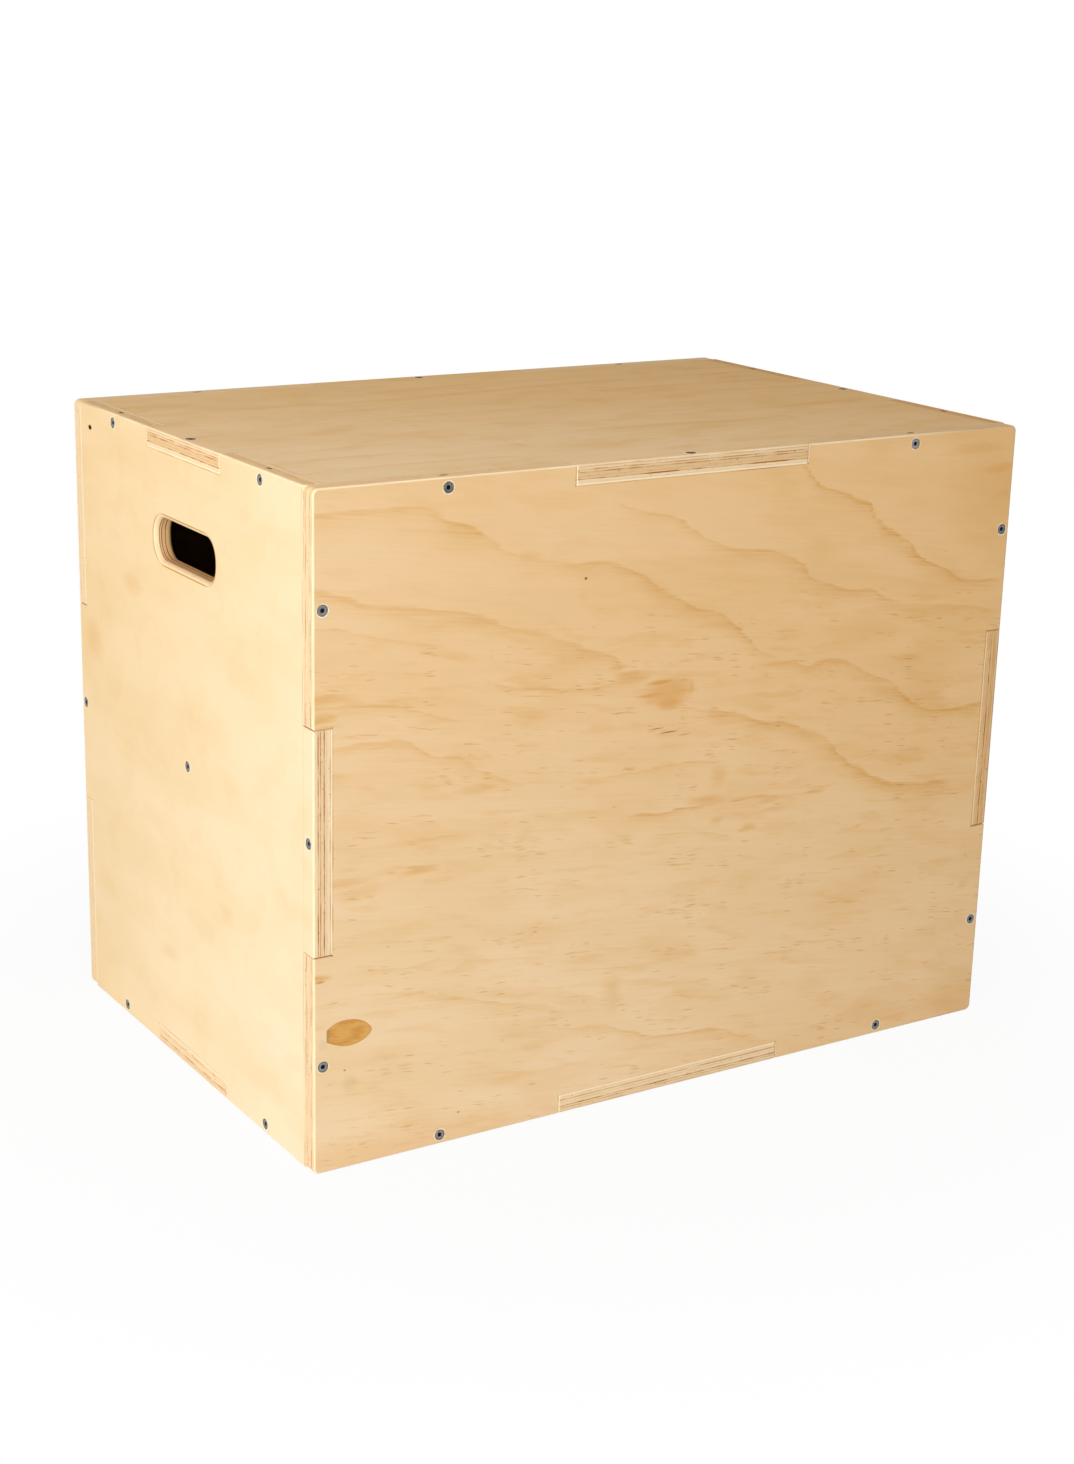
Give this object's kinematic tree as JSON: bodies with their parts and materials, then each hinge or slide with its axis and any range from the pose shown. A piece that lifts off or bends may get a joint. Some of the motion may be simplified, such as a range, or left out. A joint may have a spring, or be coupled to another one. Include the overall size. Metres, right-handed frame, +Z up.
{
  "type": "plyo box",
  "caption": "Closed plywood jump box with tabbed and screwed edges and a hand hole in each end, used on any of its sides for different jump heights.",
  "frame": {"origin": "middle of the underside, on the floor", "axes": "+Z up, +X along the long side, +Y from the front panel to the back panel"},
  "size_m": [0.762, 0.508, 0.61],
  "materials": {
    "plywood": "sanded pine plywood, clear matt sealer",
    "screw_zinc": "dull zinc plate"
  },
  "bodies": {
    "root": {"front_panel": "plywood", "back_panel": "plywood", "left_panel": "plywood", "right_panel": "plywood", "top_panel": "plywood", "bottom_panel": "plywood", "centre_brace": "plywood", "front_left_screws": "screw_zinc", "front_right_screws": "screw_zinc", "front_top_screws": "screw_zinc", "front_bottom_screws": "screw_zinc", "back_left_screws": "screw_zinc", "back_right_screws": "screw_zinc", "back_top_screws": "screw_zinc", "back_bottom_screws": "screw_zinc", "left_top_screws": "screw_zinc", "left_bottom_screws": "screw_zinc", "right_top_screws": "screw_zinc", "right_bottom_screws": "screw_zinc", "left_brace_screw": "screw_zinc", "right_brace_screw": "screw_zinc"}
  },
  "joints": []
}
